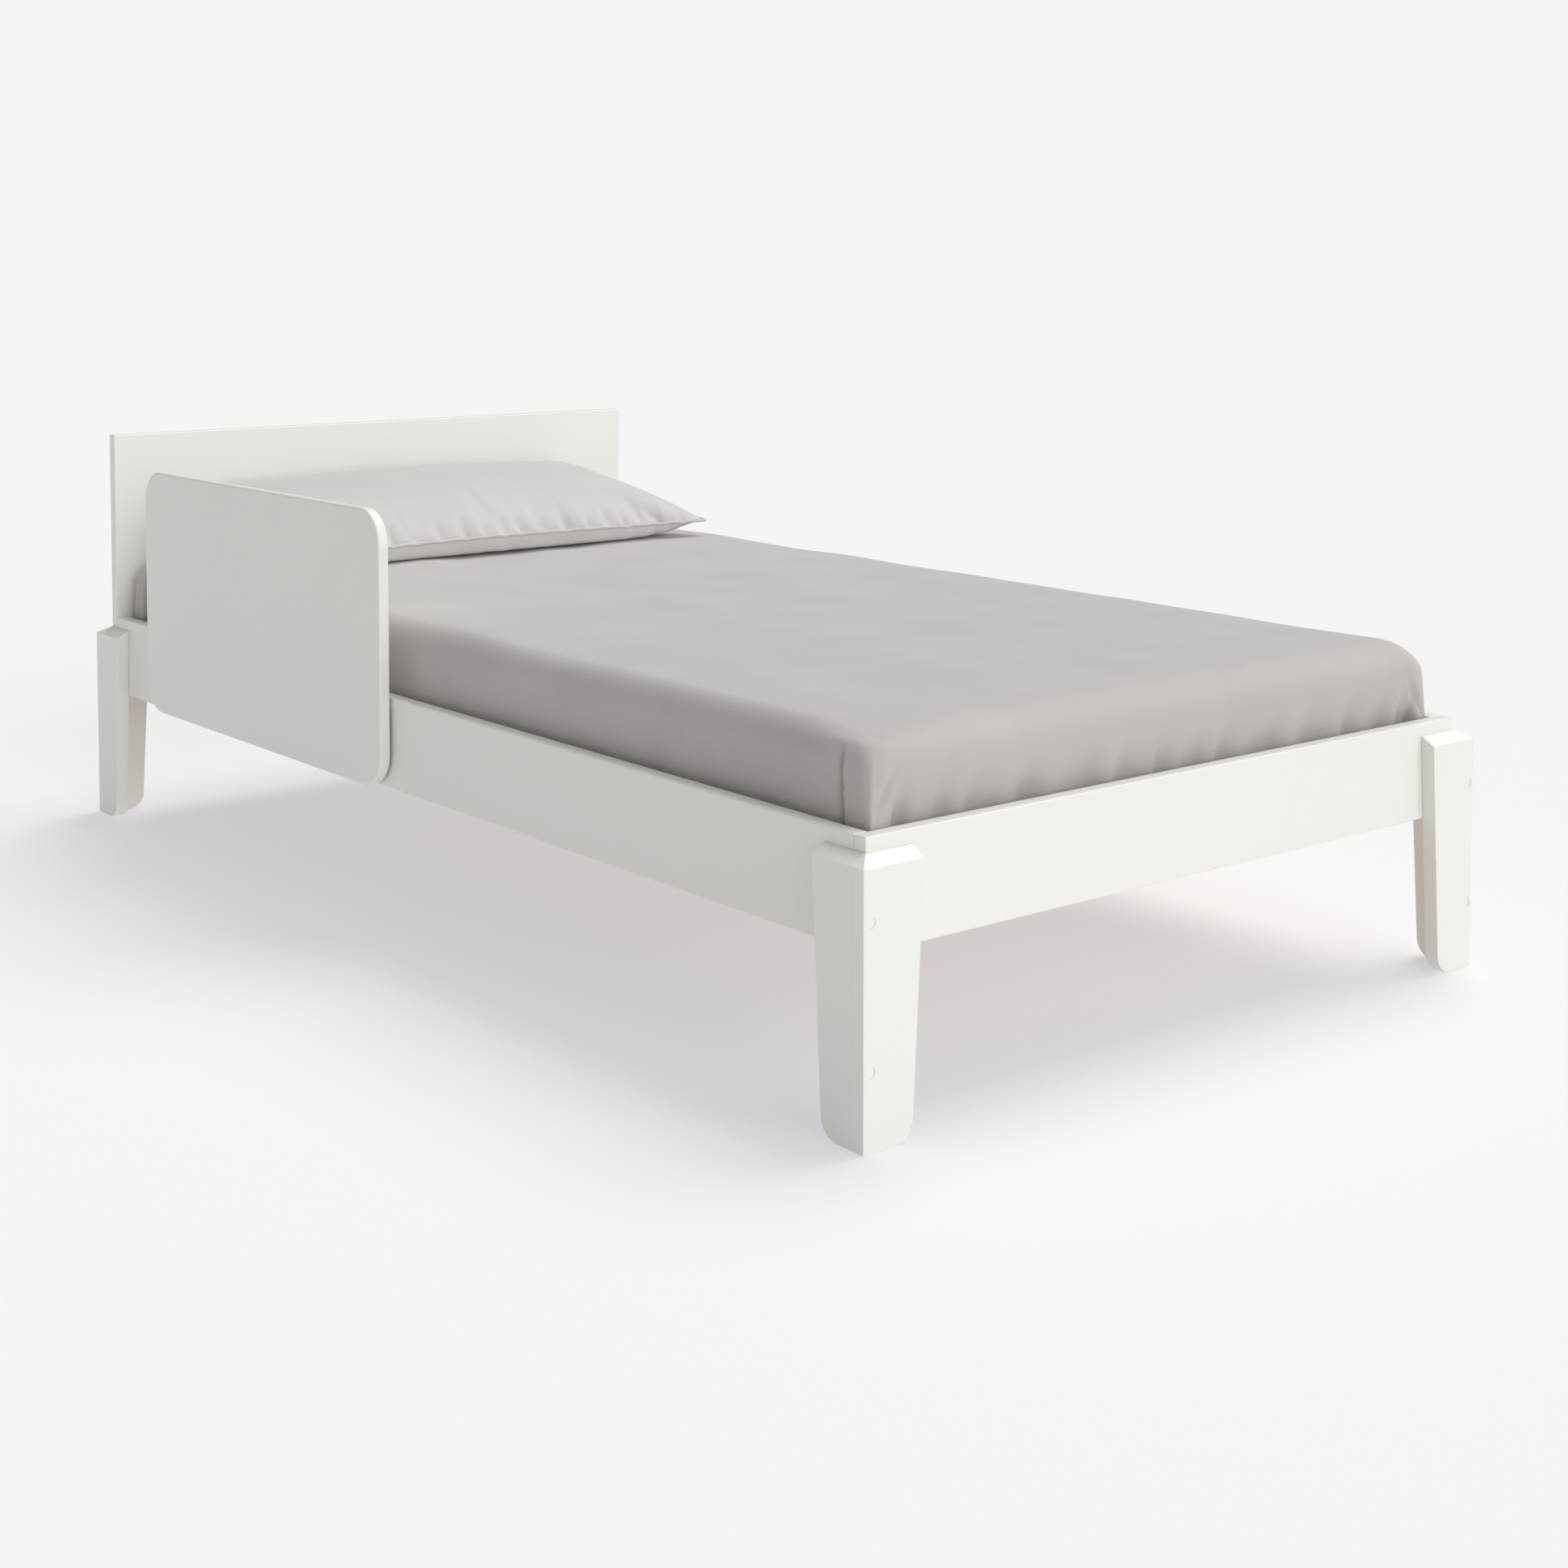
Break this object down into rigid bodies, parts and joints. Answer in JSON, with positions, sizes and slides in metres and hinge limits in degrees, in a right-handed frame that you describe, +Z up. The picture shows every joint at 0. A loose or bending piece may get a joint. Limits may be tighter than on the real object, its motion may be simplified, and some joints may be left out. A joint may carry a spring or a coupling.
{
  "type": "toddler bed",
  "caption": "Low white toddler bed with L-section board legs, plain headboard, one side guard panel, slatted base, sheeted mattress and pillow.",
  "frame": {"origin": "on the floor, under the middle of the frame", "axes": "+Y from the foot end to the head end, +X to the bed's right (the guard panel is on -X), +Z up"},
  "size_m": [0.8, 1.484, 0.48],
  "materials": {
    "white_lacquer": "satin white lacquer on board",
    "bare_wood": "planed pine, unlacquered",
    "zinc_steel": "zinc plated",
    "spacer_plastic": "moulded",
    "cap_plastic": "moulded, white",
    "mattress_foam": "woven ticking over foam",
    "sheet_cotton": "plain woven cotton, taupe grey",
    "pillow_filling": "cotton shell with fibre filling",
    "case_cotton": "plain woven cotton, pale grey"
  },
  "bodies": {
    "frame": {"cleat_screws": "zinc_steel", "foot_rail": "white_lacquer", "frame_bolts": "zinc_steel", "frame_inserts": "zinc_steel", "guard_bolts": "zinc_steel", "guard_inserts": "zinc_steel", "guard_panel": "white_lacquer", "guard_spacers": "spacer_plastic", "headboard": "white_lacquer", "leg_foot_left_end_board": "white_lacquer", "leg_foot_left_side_board": "white_lacquer", "leg_foot_right_end_board": "white_lacquer", "leg_foot_right_side_board": "white_lacquer", "leg_head_left_end_board": "white_lacquer", "leg_head_left_side_board": "white_lacquer", "leg_head_right_end_board": "white_lacquer", "leg_head_right_side_board": "white_lacquer", "leg_screw_caps": "cap_plastic", "leg_screws": "zinc_steel", "rail_dowels": "bare_wood", "side_rail_left": "white_lacquer", "side_rail_right": "white_lacquer", "slat_01": "bare_wood", "slat_02": "bare_wood", "slat_03": "bare_wood", "slat_04": "bare_wood", "slat_05": "bare_wood", "slat_06": "bare_wood", "slat_07": "bare_wood", "slat_08": "bare_wood", "slat_09": "bare_wood", "slat_10": "bare_wood", "slat_11": "bare_wood", "slat_12": "bare_wood", "slat_13": "bare_wood", "slat_cleat_left": "bare_wood", "slat_cleat_right": "bare_wood", "slat_screws": "zinc_steel"},
    "mattress": {"mattress_core": "mattress_foam", "fitted_sheet": "sheet_cotton"},
    "pillow": {"pillow_insert": "pillow_filling", "pillowcase": "case_cotton"}
  },
  "joints": [
    {"name": "mattress_lift", "type": "slide", "parent": "frame", "child": "mattress", "axis": [0, 0, 1], "range_m": [0, 0.35]},
    {"name": "pillow_lift", "type": "slide", "parent": "mattress", "child": "pillow", "axis": [0, 0, 1], "range_m": [0, 0.3]}
  ]
}
